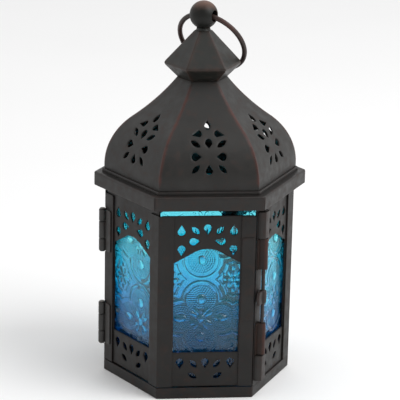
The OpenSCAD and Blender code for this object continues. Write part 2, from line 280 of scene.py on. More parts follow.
def on_side(k, lift=0.0):
    """Takes (across, height, depth) points to side k; lift is how far the front stands out of the side."""
    return lambda p: spun(60 * k)(np.column_stack([p[:, 0], p[:, 2] - FLAT_R - lift, p[:, 1]]))


def upright(top, centre=(0, 0)):
    """Takes a plate drawn in plan to an upright prism whose upper end is at top."""
    return lambda p: np.column_stack([p[:, 0] + centre[0], p[:, 1] + centre[1], top - p[:, 2]])


def rectangle(x0, x1, y0, y1, rounding=0.0):
    if not rounding:
        return np.array([[x0, y0], [x1, y0], [x1, y1], [x0, y1]])
    corners = [(x1 - rounding, y0 + rounding, -90), (x1 - rounding, y1 - rounding, 0),
               (x0 + rounding, y1 - rounding, 90), (x0 + rounding, y0 + rounding, 180)]
    return np.concatenate([[x, y] + polar(rounding, np.arange(a, a + 91, 22.5)) for x, y, a in corners])


# ---- Publishing ----

BODY = {n: body for body, nodes in frame["record"]["behaviour"]["bodies"].items() for n in nodes}
SLOT = {s["node"]: s["material_slot"] for s in frame["record"]["subparts"]}
MATERIALS = {}


def publish(node, shell, sharp=50):
    """Makes the piece that stands for a CAD node, on that node's body and with its material slot."""
    mesh = bpy.data.meshes.new(node + "_skin")
    mesh.from_pydata((shell.points * MM).tolist(), [], shell.faces)
    # The per-point value is wear on the metals, a painted highlight on the finial ball's top and painted
    # shade on the glass.
    attribute = mesh.attributes.new("wear_and_painted_light", "FLOAT", "POINT")
    attribute.data.foreach_set("value", shell.wear_and_painted_light.astype(np.float32))
    mesh.materials.append(MATERIALS[SLOT[node]])
    mesh.shade_smooth()
    mesh.set_sharp_from_angle(angle=math.radians(sharp))
    piece = bpy.data.objects.new(node + "_skin", mesh)
    bpy.context.scene.collection.objects.link(piece)
    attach(piece, BODY[node])
    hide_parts(node)
    normals = piece.modifiers.new("normals", "WEIGHTED_NORMAL")
    normals.keep_sharp = True
    return piece


# ---- Materials ----

def nodes_of(name):
    material = bpy.data.materials.new(name)
    material.use_nodes = True
    tree = material.node_tree
    return material, tree, tree.nodes["Principled BSDF"]


def noise(tree, place, scale, detail=3.0, rough=0.55):
    node = tree.nodes.new("ShaderNodeTexNoise")
    node.inputs["Scale"].default_value = scale
    node.inputs["Detail"].default_value = detail
    node.inputs["Roughness"].default_value = rough
    tree.links.new(place, node.inputs["Vector"])
    return node.outputs["Fac"]


def ramp(tree, value, stops):
    """A colour ramp; stops are (position, colour or grey level)."""
    node = tree.nodes.new("ShaderNodeValToRGB")
    elements = node.color_ramp.elements
    while len(elements) < len(stops):
        elements.new(0.5)
    for element, (position, colour) in zip(elements, stops):
        element.position = position
        element.color = (*colour, 1) if hasattr(colour, "__len__") else (colour, colour, colour, 1)
    tree.links.new(value, node.inputs["Fac"])
    return node.outputs["Color"]


def math_node(tree, operation, a, b):
    node = tree.nodes.new("ShaderNodeMath")
    node.operation = operation
    for socket, value in zip(node.inputs, (a, b)):
        if isinstance(value, (int, float)):
            socket.default_value = value
        else:
            tree.links.new(value, socket)
    return node.outputs[0]


def mixed(tree, share, a, b):
    node = tree.nodes.new("ShaderNodeMix")
    node.data_type = "RGBA"
    tree.links.new(share, node.inputs["Factor"])
    for socket, value in ((node.inputs[6], a), (node.inputs[7], b)):
        if hasattr(value, "__len__"):
            socket.default_value = (*value, 1)
        else:
            tree.links.new(value, socket)
    return node.outputs[2]


def bumped(tree, height, strength, distance, before=None):
    node = tree.nodes.new("ShaderNodeBump")
    node.inputs["Strength"].default_value = strength
    node.inputs["Distance"].default_value = distance * MM
    tree.links.new(height, node.inputs["Height"])
    if before is not None:
        tree.links.new(before, node.inputs["Normal"])
    return node.outputs["Normal"]


def rubbed_metal(name, dark, brown, copper, rub=0.5, shine=0.28, smudge=0.6, rough=(0.36, 0.56)):
    """Satin blackened bronze: mottled dark finish, brown smudges, and copper where it is rubbed through.

    rub is how much of the copper shows, shine the specular level, smudge the strength of the brown and
    rough the range of the roughness.
    """
    material, tree, shader = nodes_of(name)
    place = tree.nodes.new("ShaderNodeTexCoord").outputs["Object"]
    broad, middle, fine = noise(tree, place, 55), noise(tree, place, 260, 5), noise(tree, place, 1500, 2)
    paint = mixed(tree, ramp(tree, broad, [(0.35, 0.0), (0.65, 1.0)]), dark, [c * 1.5 for c in dark])
    stain = math_node(tree, "MULTIPLY", ramp(tree, middle, [(0.52, 0.0), (0.72, 1.0)]), smudge)
    paint = mixed(tree, stain, paint, brown)
    # The per-point value is wear, and on the finial ball's top also a painted highlight, which this copper
    # mix paints.
    worn = tree.nodes.new("ShaderNodeAttribute")
    worn.attribute_name = "wear_and_painted_light"
    small_patch = math_node(tree, "MULTIPLY", middle, 0.7)
    large_patch = math_node(tree, "MULTIPLY", broad, 0.5)
    patch = math_node(tree, "ADD", small_patch, large_patch)
    edge = math_node(tree, "MULTIPLY", worn.outputs["Fac"], patch)
    bare = math_node(tree, "MULTIPLY", ramp(tree, edge, [(0.14, 0.0), (0.62, 1.0)]), rub)
    tree.links.new(mixed(tree, bare, paint, copper), shader.inputs["Base Color"])
    gloss = ramp(tree, middle, [(0.3, rough[0]), (0.7, rough[1])])
    tree.links.new(gloss, shader.inputs["Roughness"])
    grain = bumped(tree, fine, 0.25, 0.05)
    tree.links.new(bumped(tree, middle, 0.3, 0.12, grain), shader.inputs["Normal"])
    shader.inputs["Specular IOR Level"].default_value = shine
    return material


def pin_steel(name):
    material, tree, shader = nodes_of(name)
    place = tree.nodes.new("ShaderNodeTexCoord").outputs["Object"]
    streak = noise(tree, place, 900, 4)
    tint = ramp(tree, streak, [(0.35, (0.05, 0.045, 0.04)), (0.7, (0.16, 0.15, 0.14))])
    tree.links.new(tint, shader.inputs["Base Color"])
    tree.links.new(ramp(tree, streak, [(0.3, 0.3), (0.7, 0.5)]), shader.inputs["Roughness"])
    shader.inputs["Metallic"].default_value = 0.8
    return material


def blue_glass(name):
    """Pressed glass with fine ripples, and painted shade: its blue is darker towards the foot and in the
    pattern's hollows and on the lower sides of its bosses.
    """
    material, tree, shader = nodes_of(name)
    place = tree.nodes.new("ShaderNodeTexCoord").outputs["Object"]
    broad, fine = noise(tree, place, 70, 2), noise(tree, place, 500, 1)
    split = tree.nodes.new("ShaderNodeSeparateXYZ")
    tree.links.new(place, split.inputs[0])
    # Painted shade: the blue darkens towards the foot, standing for the dark inside of the lantern seen
    # through the lower glass.
    height = math_node(tree, "ADD", split.outputs["Z"], math_node(tree, "MULTIPLY", broad, 0.012))
    tint = ramp(tree, height, [(0.014, (0.02, 0.12, 0.36)), (0.028, (0.05, 0.36, 0.80)),
                                (0.055, (0.12, 0.76, 1.0)), (0.08, (0.19, 0.92, 1.0))])
    # Painted shade in the relief: the per-point value darkens the blue in the pattern's hollows and on the
    # lower sides of its bosses.
    painted_relief_shade = tree.nodes.new("ShaderNodeAttribute")
    painted_relief_shade.attribute_name = "wear_and_painted_light"
    deeper = math_node(tree, "MULTIPLY", painted_relief_shade.outputs["Fac"], 0.85)
    tree.links.new(mixed(tree, deeper, tint, (0.02, 0.20, 0.42)), shader.inputs["Base Color"])
    tree.links.new(ramp(tree, fine, [(0.3, 0.04), (0.7, 0.08)]), shader.inputs["Roughness"])
    tree.links.new(bumped(tree, fine, 0.08, 0.03), shader.inputs["Normal"])
    shader.inputs["Transmission Weight"].default_value = 0.92
    shader.inputs["Specular IOR Level"].default_value = 0.3
    shader.inputs["IOR"].default_value = 1.5
    return material


COPPER = (0.085, 0.020, 0.013)
CAP_COPPER = (0.07, 0.03, 0.02)
# The ball's rubbed copper; the same colour paints a highlight on the ball's top.
BALL_COPPER_AND_HIGHLIGHT = (0.13, 0.075, 0.058)
BARE_TIN = (0.2, 0.18, 0.16)
BROWN = (0.028, 0.015, 0.011)
RING_BROWN = (0.05, 0.022, 0.017)
SLEEVE_BROWN = (0.032, 0.016, 0.012)
TIN_BROWN = (0.05, 0.04, 0.035)
MATERIALS.update({
    "blue_glass": blue_glass("pressed_blue_glass"),
    "bronze_sheet": rubbed_metal("sheet_bronze", (0.0092, 0.0083, 0.0077), BROWN, COPPER, 0.03),
    "bronze_dome": rubbed_metal("dome_bronze", (0.0106, 0.0098, 0.0088), BROWN, COPPER, 0.6, 0.38),
    "bronze_cap": rubbed_metal("cap_bronze", (0.010, 0.0104, 0.0088), BROWN, CAP_COPPER, 0.3, 0.36),
    "bronze_collar": rubbed_metal("collar_bronze", (0.0108, 0.0097, 0.009), BROWN, COPPER, 0.04, 0.34),
    "bronze_ball": rubbed_metal("ball_bronze", (0.007, 0.0072, 0.0062), BROWN, BALL_COPPER_AND_HIGHLIGHT, 1.0, 0.24),
    "copper_wire": rubbed_metal("ring_copper", (0.018, 0.012, 0.010), RING_BROWN, COPPER, 0.5, 0.4),
    "copper_sleeve": rubbed_metal("sleeve_copper", (0.015, 0.010, 0.008), SLEEVE_BROWN, COPPER, 0.4, 0.22),
    "bronze_latch": rubbed_metal("latch_bronze", (0.016, 0.0142, 0.0132), BROWN, COPPER, 0.1, 0.3),
    "bronze_hinge": rubbed_metal("hinge_bronze", (0.02, 0.0192, 0.018), BROWN, COPPER, 0.03, 0.45),
    "steel_pin": pin_steel("darkened_steel"),
    "tin_cup": rubbed_metal("cup_tin", (0.03, 0.028, 0.026), TIN_BROWN, BARE_TIN, 0.4),
})


# ---- Pierced sides ----

def drop(length, width, turn=0, centre=(0, 0)):
    """Outline of a drop-shaped hole with its point up, then turned."""
    r = width / 2
    round_end = polar(r, np.arange(165, 376, 15)) + [0, r - length / 2]
    outline = np.concatenate([[[0, length / 2]], round_end])
    return outline @ turning(turn).T + centre


def leaf(length, width, turn=0, centre=(0, 0)):
    """Outline of a leaf-shaped hole along up, then turned."""
    r = (length ** 2 / 4 + width ** 2 / 4) / width
    reach = math.degrees(math.asin(length / 2 / r))
    arc = polar(r, np.linspace(-reach, reach, 9)) - [r - width / 2, 0]
    return np.concatenate([arc[:-1], -arc[:-1]]) @ turning(turn).T + centre


def turning(degrees):
    a = math.radians(degrees)
    return np.array([[math.cos(a), -math.sin(a)], [math.sin(a), math.cos(a)]])


def both(shape, length, width, turn, x, y):
    """The hole at x and its mirror image at -x."""
    hole = shape(length, width, turn, (x, y))
    return [hole, hole * [-1, 1]]


def window_outline():
    """A window with straight sides and a low pointed head whose point is rounded."""
    slope = math.degrees(math.atan2(PEAK_Z - SPRING_Z, WINDOW_HALF))
    shoulder = SPRING_Z - PEAK_R * (1 / math.cos(math.radians(slope)) - 1)
    arc = polar(PEAK_R, np.linspace(90 - slope, 90 + slope, 9)) + [0, PEAK_Z - PEAK_R]
    return np.concatenate([[[-WINDOW_HALF, shoulder], [-WINDOW_HALF, SILL_Z], [WINDOW_HALF, SILL_Z],
                            [WINDOW_HALF, shoulder]], arc])


def side_holes():
    drops, leaves = (5.2, 3.7), (4.9, 2.5)       # length and width
    holes = [drop(*drops, 180, (0, 84.6)), drop(*drops, 180, (0, 17.6))]
    for shape, size, turn, x, y in [
            (drop, drops, 0, 12.3, 84.3), (drop, drops, 180, 12.2, 74.3), (leaf, leaves, -45, 5.7, 84.2),
            (drop, drops, 84, 5.9, 78.8), (drop, drops, 180, 12.1, 17.6), (leaf, leaves, -40, 5.6, 17.4),
            (leaf, leaves, -58, 6, 11.4)]:
        holes += both(shape, *size, turn, x, y)
    return holes


def build_panels():
    sides = {"panel_right_front": 1, "panel_right_back": 2, "panel_back": 3, "panel_left_back": 4,
             "door_front_panel": 0, "door_left_panel": 5}
    made = {}
    for node, k in sides.items():
        span = (round(low(node)[2], 3), round(high(node)[2], 3))
        if span not in made:
            outline = rectangle(-PANEL_HALF, PANEL_HALF, *span)
            made[span] = plate(outline, [window_outline()] + side_holes())
        publish(node, made[span].placed(on_side(k, -SHEET)))


# ---- Corner strips ----

def folded_section(width, fold_r=1.0):
    """Plan of a strip folded round a corner at +X, its points' ways along it, and the longest of them."""
    bend = math.radians(30)
    hub = CORNER_R - fold_r / math.cos(bend)
    arc = fold_r * bend
    reach = width - fold_r * math.tan(bend) + arc
    stations = np.array([reach, reach - 0.15, 5.5, 3.0, 1.5, 0.9, arc, arc * 2 / 3, arc / 3])
    stations = np.concatenate([-stations, [0], stations[::-1]])

    def at(s, depth):
        turn = np.clip(s / fold_r, -bend, bend)
        rest = np.sign(s) * np.maximum(abs(s) - arc, 0)
        x = hub + (fold_r - depth) * np.cos(turn) - rest * np.sin(turn)
        y = (fold_r - depth) * np.sin(turn) + rest * np.cos(turn)
        return np.column_stack([x, y])

    ends = np.where(abs(stations) > reach - 0.01, 0.12, 0)     # the strip's edges are rounded
    outside, inner = at(stations, ends), at(stations, SHEET - ends)
    return np.concatenate([outside, inner[::-1]]), np.concatenate([stations, stations[::-1]]), reach


def build_folded_strips():
    section, along, reach = folded_section(STRIP_W)
    way = {tuple(np.round(p, 6)): s for p, s in zip(section, along)}

    def wear_and_painted_light(points):
        s = np.array([way[tuple(np.round(p, 6))] for p in points])
        return np.maximum(np.exp(-(s / 0.8) ** 2), 0.8 * np.exp(-(reach - abs(s)) / 0.4))

    for node, azimuth in (("post_right", 0), ("post_back_right", 60), ("post_back_left", 120),
                          ("door_fold_angle", 240)):
        bottom, top = low(node)[2], high(node)[2]
        strip = plate(section, thick=top - bottom, step=99, edge=0.05, lip=0.1, rim_wear=wear_and_painted_light)
        publish(node, strip.placed(upright(top)).placed(spun(azimuth)))


HINGES = [(low(h + "_hinge_fixed_leaf")[2], high(h + "_hinge_fixed_leaf")[2]) for h in ("lower", "upper")]


def notched_edge(x, toward, span, cuts):
    """Points up one edge at x, with a cut of (bottom, top, width) towards the metal at each cut."""
    path = [[x, span[0]]]
    for bottom, top, width in cuts:
        path += [[x, bottom], [x + toward * width, bottom], [x + toward * width, top], [x, top]]
    return path + [[x, span[1]]]


def build_jambs():
    """The strips with one leg, on either side of the door's two seams."""
    room, depth = 0.9, 1.2                      # above and below a hinge, and of the cut for its knuckles
    hinge_cuts = [(bottom - room, top + room, depth) for bottom, top in HINGES]
    for node, k, end, cuts in (("latch_jamb", 1, -1, []), ("door_latch_stile", 0, 1, []),
                               ("hinge_jamb", 4, 1, hinge_cuts), ("door_hinge_stile", 5, -1, hinge_cuts)):
        span = low(node)[2], high(node)[2]
        near, far = HALF_SIDE - SEAM, HALF_SIDE - STRIP_W
        edge = np.array(notched_edge(near, -1, span, cuts))
        outline = np.concatenate([edge, [[far, span[1]], [far, span[0]]]]) * [end, 1]
        strip = plate(outline)
        mitre = TAN30 * (abs(strip.points[:, 0]) - far) / STRIP_W * strip.points[:, 2]
        strip.points[:, 0] -= end * mitre
        publish(node, strip.placed(on_side(k)))


# ---- Glass ----

QUATREFOIL_PITCH = (30.2, 38.6)                 # across and up
LOBE_OUT = 9.6                                  # from the middle of a medallion to the middle of a lobe
BEAD_PITCH = 1.05


def bump_at(x, y, rx, ry, height):
    """A smooth round or oval boss."""
    return height * np.sqrt(np.clip(1 - (x / rx) ** 2 - (y / ry) ** 2, 0, 1))


def line_at(r, radius, width, height):
    """A soft round line, or a groove where height is negative."""
    return height * np.exp(-((r - radius) / width) ** 2)


def turned_boss(x, y, degrees, out, length, width, height):
    """A boss of that length and width whose middle lies out from the centre in a direction."""
    a = math.radians(degrees)
    along, across = x * math.cos(a) + y * math.sin(a), y * math.cos(a) - x * math.sin(a)
    return bump_at(along - out, across, length / 2, width / 2, height)


def pressed_pattern(u, z, shift):
    """Height of the pressed pattern: four-lobed medallions with rows of beads, and flowers between them."""
    px, py = QUATREFOIL_PITCH
    x = (u - shift[0] + px / 2) % px - px / 2
    y = (z - shift[1] + py / 2) % py - py / 2
    sideways = abs(x) > abs(y)
    lobe_x = np.where(sideways, abs(x) - LOBE_OUT, x)
    lobe_y = np.where(sideways, y, abs(y) - LOBE_OUT)
    r, angle = np.hypot(lobe_x, lobe_y), np.arctan2(lobe_y, lobe_x)
    row = np.round(r / BEAD_PITCH)
    bead_count = np.maximum(np.round(6 * row), 1)
    beads = np.cos(np.pi * (r / BEAD_PITCH - row)) * (0.5 + 0.5 * np.cos(bead_count * angle))
    height = 0.2 * beads * (r > 2.7) * (r < 6.8)
    height += line_at(r, 7.75, 0.42, -0.34) + line_at(r, 8.7, 0.5, 0.22)
    height += line_at(r, 11.3, 0.45, -0.26) + line_at(r, 12.1, 0.5, 0.16)
    oval, round_boss = bump_at(lobe_x, lobe_y, 3.1, 1.6, 0.55), bump_at(lobe_x, lobe_y, 2.2, 2.2, 0.5)
    height = np.maximum(height, np.where(sideways, oval, round_boss))
    core = np.hypot(x, y)
    height = np.where(core < 5.2, np.minimum(height, -0.05), height)
    height = np.maximum(height, bump_at(x, y, 1.7, 1.7, 0.5))
    for a in (32, 58, 122, 148, 212, 238, 302, 328):
        height = np.maximum(height, turned_boss(x, y, a, 4.2, 4.2, 1.7, 0.42))
    fx, fy = px / 2 - abs(x), py / 2 - abs(y)
    flower = np.hypot(fx, fy)
    height = np.where(flower < 5.6, np.minimum(height, -0.05), height)
    height = np.maximum(height, bump_at(fx, fy, 1.2, 1.2, 0.45))
    for a in range(0, 360, 60):
        height = np.maximum(height, turned_boss(fx, fy, a, 3.0, 3.2, 1.8, 0.38))
    for a in (30, 90, 150, 210, 270, 330):
        height = np.maximum(height, turned_boss(fx, fy, a, 5.4, 2.0, 1.2, 0.3))
    return height + 0.04 * np.sin(0.9 * u + 0.5) * np.sin(0.7 * z + 1.1)


def stations_between(start, end, dense_start, dense_end, fine, coarse):
    """Rising stations that are fine between the dense limits and coarse outside them."""
    def run(a, b, step):
        n = max(1, math.ceil((b - a) / step))
        return a + (b - a) * np.arange(n) / n
    return np.concatenate([run(start, dense_start, coarse), run(dense_start, dense_end, fine),
                           run(dense_end, end, coarse), [end]])


def build_glass():
    """Panes whose fronts carry the pattern where the windows show them."""
    relief, ground = 1.8, 1.1                    # scale of the pattern, and its depth at height 0
    fine, coarse, margin = 0.26, 1.5, 1          # mesh steps, and how far the fine one passes the window
    window, slope_step = WINDOW_HALF + margin, 0.1
    panes = {"door_front_glass": (0, (-2.3, 40.1)), "door_left_glass": (5, (4.5, 33.0)),
             "glass_right_front": (1, (7.5, 42.0)), "glass_right_back": (2, (-6.0, 52.0)),
             "glass_back": (3, (9.0, 46.0)), "glass_left_back": (4, (1.0, 58.0))}
    for node, (k, shift) in panes.items():
        bottom, top = low(node)[2], high(node)[2]
        us = stations_between(-GLASS_HALF, GLASS_HALF, -window, window, fine, coarse)
        zs = stations_between(bottom, top, SILL_Z - margin, PEAK_Z + margin, fine, coarse)
        u, z = (g.ravel() for g in np.meshgrid(us, zs))
        pattern = pressed_pattern(u, z, shift)
        front = np.column_stack([u, z, ground - relief * pattern])
        back = np.column_stack([u, z, np.full(len(u), GLASS_T)])
        nu, nz, n = len(us), len(zs), len(u)
        cell = (np.arange(nz - 1)[:, None] * nu + np.arange(nu - 1)).ravel()
        quads = np.column_stack([cell, cell + 1, cell + 1 + nu, cell + nu])
        border = np.concatenate([np.arange(nu), np.arange(1, nz) * nu + nu - 1,
                                 nz * nu - 1 - np.arange(1, nu), np.arange(nz - 2, 0, -1) * nu])
        after = np.roll(border, -1)
        rim = np.column_stack([border, border + n, after + n, after])
        faces = np.concatenate([quads, quads[:, ::-1] + n, rim])
        above, below = (pressed_pattern(u, z + d, shift) for d in (slope_step, -slope_step))
        rise = (above - below) / (2 * slope_step)
        # Painted shade: high in the pattern's hollows and where the pattern rises upward, on the lower
        # sides of the bosses; low on the bosses and their upper sides.
        painted_relief_shade = np.clip(0.2 - pattern + 0.7 * rise, 0, 1)
        pane = Shell(np.concatenate([front, back]), faces, np.concatenate([painted_relief_shade, 0 * painted_relief_shade]))
        publish(node, pane.placed(on_side(k, -2 * SHEET)), sharp=80)


def build_clips():
    """Bent clips that hold the panes against the panels."""
    thick, clip_h, clip_heights = 0.4, 5, (28, 66)
    reach = 2 * SHEET + GLASS_T + thick
    out, into = GLASS_HALF + 0.1, GLASS_HALF - 2.5
    outline = np.array([[out, 2 * SHEET], [out + thick, 2 * SHEET], [out + thick, reach], [into, reach],
                        [into, reach - thick], [out, reach - thick]])
    for node, sides in (("glass_clips", (1, 2, 3, 4)), ("door_glass_clips", (0, 5))):
        clips = []
        for k in sides:
            for z in clip_heights:
                for end in (-1, 1):
                    bent = plate(outline * [end, 1], thick=clip_h, step=1, edge=0.05, lip=0.05)
                    bent.points = bent.points[:, [0, 2, 1]] + [0, z, 0]
                    bent.faces = [f[::-1] for f in bent.faces]
                    clips.append(bent.placed(on_side(k)))
        publish(node, joined(clips))


# ---- Base, collar and dome ----

def build_base():
    """The tray's wall bends up from a flat floor; its foot and its rim are rounded and rubbed."""
    r, inner = FLAT_R, FLAT_R - SHEET
    publish("base_tray", hexagon_loft([
        (r - 1.6, 0, 1, 0.2), (r - 0.5, 0, 1, 0.5), (r - 0.14, 0.14, 1, 1), (r, 0.5, 1.1, 0.7),
        (r, 1.5, 1.1, 0.1), (r, RIM_H - 1, 1.1, 0.1), (r, RIM_H - 0.15, 1.1, 0.8), (r - 0.15, RIM_H, 1, 1),
        (r - 0.65, RIM_H, 0.5, 1), (inner, RIM_H - 0.15, 0.3, 0.6), (inner, SHEET + 0.2, 0.3, 0),
        (inner - 0.3, SHEET, 0.2, 0), (r - 6, SHEET, 0.2, 0)]))


def build_collar():
    """The collar's band with its flat top, and the step on it that the dome stands on."""
    z0, z1 = low("collar")[2], high("collar")[2]
    r = high("collar")[0] * COS30
    inner = -low("petal_front")[1] - 2.7         # the hole in the flat top, inside the dome
    publish("collar", hexagon_loft([
        (r - 0.14, z0, 1.2, 1), (r, z0 + 0.16, 1.2, 1), (r, z0 + 0.9, 1.2, 0.25), (r, z1 - 1.5, 1.2, 0.15),
        (r, z1 - 0.7, 1.2, 0.5), (r - 0.2, z1 - 0.2, 1.2, 1), (r - 0.7, z1, 1.0, 0.8),
        (r - 1.6, z1, 0.8, 0.1), (inner, z1, 0.5, 0), (inner, z1 - SHEET, 0.5, 0),
        (r - 1.3, z1 - SHEET, 0.4, 0),
        (r - SHEET, z1 - 1.3, 0.4, 0), (r - SHEET, z0 + 0.16, 0.4, 0), (r - 0.66, z0, 0.6, 0.5)],
        closed=True, groove=0.3))
    top = high("dome_ledge")[2]
    r = high("dome_ledge")[0] * COS30
    publish("dome_ledge", hexagon_loft([
        (r, z1, 0.9, 0.2), (r, top - 0.45, 0.9, 0.5), (r - 0.13, top - 0.13, 0.9, 1),
        (r - 0.45, top, 0.8, 0.7), (inner, top, 0.5, 0), (inner, z1, 0.5, 0)], closed=True))


class DomeProfile:
    """The dome's outward-curved shoulder and hollow-curved flank, in profile along the middle of a side."""

    def __init__(self):
        shoulder_r, shoulder_turn, straight = 30.2, math.radians(52), 2.1
        self.foot_z, self.neck_z = low("petal_front")[2], high("petal_front")[2]
        self.foot = -low("petal_front")[1]
        self.hub = np.array([self.foot - shoulder_r, self.foot_z + straight])
        along = np.array([math.cos(shoulder_turn), math.sin(shoulder_turn)])
        self.join = self.hub + shoulder_r * along
        chord = np.array([CAP_NECK_R * COS30, self.neck_z]) - self.join
        bend = shoulder_turn - math.atan2(-chord[0], chord[1])
        self.shoulder_r, self.flank_r = shoulder_r, np.linalg.norm(chord) / 2 / math.sin(bend)
        self.flank_hub = self.join + self.flank_r * along

    def reach(self, z):
        """From the centre line to the outside of the wall at height z."""
        shoulder = self.hub[0] + np.sqrt(np.maximum(self.shoulder_r ** 2 - (z - self.hub[1]) ** 2, 0))
        flank = self.flank_hub[0] - np.sqrt(np.maximum(self.flank_r ** 2 - (z - self.flank_hub[1]) ** 2, 0))
        return np.where(z < self.hub[1], self.foot, np.where(z < self.join[1], shoulder, flank))

    def inward(self, z):
        """Unit direction (towards the centre line, up) from the outside of the wall to its inside."""
        step = 0.01
        slope = (self.reach(z + step) - self.reach(z - step)) / (2 * step)
        scale = 1 / np.hypot(1, slope)
        return -scale, slope * scale

    def place(self, k):
        """Takes (across, height, depth) points to the curved petal over side k."""
        def placed(p):
            z = np.clip(p[:, 1], self.foot_z, self.neck_z)
            toward, up = self.inward(z)
            outside = self.reach(z)
            r = outside + toward * p[:, 2]
            height = np.clip(z + up * p[:, 2], self.foot_z, self.neck_z)
            return spun(60 * k)(np.column_stack([p[:, 0] * r / outside, -r, height]))
        return placed


def petal_holes():
    """A pierced flower with two drops and one more above it."""
    holes = [drop(4.6, 3.4, 0, (0, FLOWER_Z - 5.6)), drop(3.9, 3.4, 180, (0, FLOWER_Z + 5.4)),
             drop(3.4, 2.9, 0, (0, FLOWER_Z + 12.3))]
    for shape, length, width, turn, x, up in [
            (drop, 4.8, 3.6, 90, 5.8, 0), (leaf, 5.2, 2.2, -60, 6.1, 5.3), (leaf, 5.2, 2.2, 45, 6.3, -5.4),
            (drop, 4.8, 2.5, -100, 5.3, 9)]:
        holes += both(shape, length, width, turn, x, FLOWER_Z + up)
    return holes


def build_dome():
    """Six petals, each a pierced flat plate bent to the profile, worn along the ridges between them."""
    ridge_fade, end_fade = 1.1, 4
    profile = DomeProfile()
    z = np.linspace(profile.foot_z, profile.neck_z, 70)
    half = profile.reach(z) * TAN30
    outline = np.concatenate([np.column_stack([half, z]), np.column_stack([-half, z])[::-1]])
    flat = plate(outline, petal_holes(), step=0.9)
    x, up = abs(flat.points[:, 0]), flat.points[:, 1]
    from_ridge = np.maximum(profile.reach(up) * TAN30 - x, 0)
    from_end = np.minimum(up - profile.foot_z, profile.neck_z - up)
    flat.wear_and_painted_light = np.exp(-from_ridge / ridge_fade) * np.clip(from_end / end_fade, 0, 1)
    for name, k in SIDES.items():
        publish("petal_" + name, flat.placed(profile.place(k)))


# ---- Cap and finial ----

def build_cap():
    """The part that widens upward from the dome's neck, and the peaked roof on it."""
    neck_z, edge_z, top_z = low("cap_under")[2], high("cap_under")[2], high("cap_roof")[2]
    edge = high("cap_roof")[0] * COS30
    neck, top = CAP_NECK_R * COS30, CAP_TOP_R * COS30
    slope = (edge - neck) / (edge_z - neck_z)
    publish("cap_under", hexagon_loft([
        (neck - 2, neck_z, 0.5, 0), (neck, neck_z, 0.5, 0.2), (neck + 2 * slope, neck_z + 2, 0.5, 0),
        (edge - 0.9, edge_z - 0.9 / slope, 0.6, 0.4), (edge - 0.5, edge_z - 0.35, 0.9, 0.8),
        (edge - 0.45, edge_z, 0.9, 0.8), (edge - SHEET - 0.3, edge_z - 0.1, 0.3, 0),
        (neck - SHEET + 1, neck_z + SHEET + 0.8, 0.3, 0), (neck - 2, neck_z + SHEET, 0.3, 0)]))
    fall = (edge - top) / (top_z - edge_z)

    def slant(z, rounding, wear_and_painted_light):
        return edge - fall * (z - edge_z), z, rounding, wear_and_painted_light

    publish("cap_roof", hexagon_loft([
        (edge - 0.9, edge_z, 0.9, 0.4), (edge - 0.45, edge_z, 0.9, 0.8),
        (edge - 0.5, edge_z + 0.4, 0.9, 0.8), slant(edge_z + 1, 0.7, 0.4), slant(edge_z + 4, 0.5, 0),
        slant(edge_z + 8, 0.5, 0), slant(top_z - 2, 0.5, 0), slant(top_z - 0.3, 0.5, 0.4),
        (top - 0.25, top_z, 0.4, 0.6), (0.6, top_z, 0.1, 0)]))


def build_finial():
    """The stem and the cross-bored ball; gives the height of the ball's middle, where the ring hangs."""
    ball_r = (high("finial_ball")[0] - low("finial_ball")[0]) / 2
    ball_z = high("finial_ball")[2] - ball_r
    seat_z = low("finial_ball")[2]
    stem_r, bore_r, lip = high("finial_stem")[0], 2.7, 0.35
    stem_z = low("finial_stem")[2]
    publish("finial_stem", turned([
        (stem_r - 0.3, stem_z, 0), (stem_r, stem_z + 0.02, 0.3), (stem_r - 0.25, stem_z + 0.5, 0),
        (stem_r - 0.35, seat_z, 0)], count=40))
    start = math.degrees(math.asin((bore_r + lip) / ball_r))
    arc = [(ball_r * math.sin(math.radians(a)), -ball_r * math.cos(math.radians(a)), 0.25)
           for a in np.linspace(start, 180 - start, 36)]
    end = ball_r * math.cos(math.radians(start))
    mouth = [(bore_r + 0.1, end - 0.12, 1), (bore_r, end - 0.45, 0.4)]
    bore = mouth + [(bore_r, 0, 0)] + [(r, -z, wear_and_painted_light) for r, z, wear_and_painted_light in mouth[::-1]]
    ball = turned(arc + bore, closed=True, count=56)
    azimuth = ring_axis_azimuth()

    def across(p):
        """Lays the bore along the ring's axis, and cuts the ball's underside flat on the stem."""
        laid = np.column_stack([p[:, 2], p[:, 1], -p[:, 0]])
        stood = spun(azimuth)(laid) + [0, 0, ball_z]
        stood[:, 2] = np.maximum(stood[:, 2], seat_z)
        return stood

    ball = ball.placed(across)
    # Painted highlight: the ball's top is pushed towards its light copper, the more the higher it is.
    painted_highlight_share = np.clip((ball.points[:, 2] - ball_z) / ball_r, 0, 1)
    ball.wear_and_painted_light = np.maximum(ball.wear_and_painted_light * 0.5, 1.2 * painted_highlight_share ** 2)
    publish("finial_ball", ball)
    return ball_z


def ring_axis_azimuth():
    axis = next(j for j in frame["joints"] if j["name"] == "ring_swing")["axis"]
    return math.degrees(math.atan2(axis[1], axis[0]))


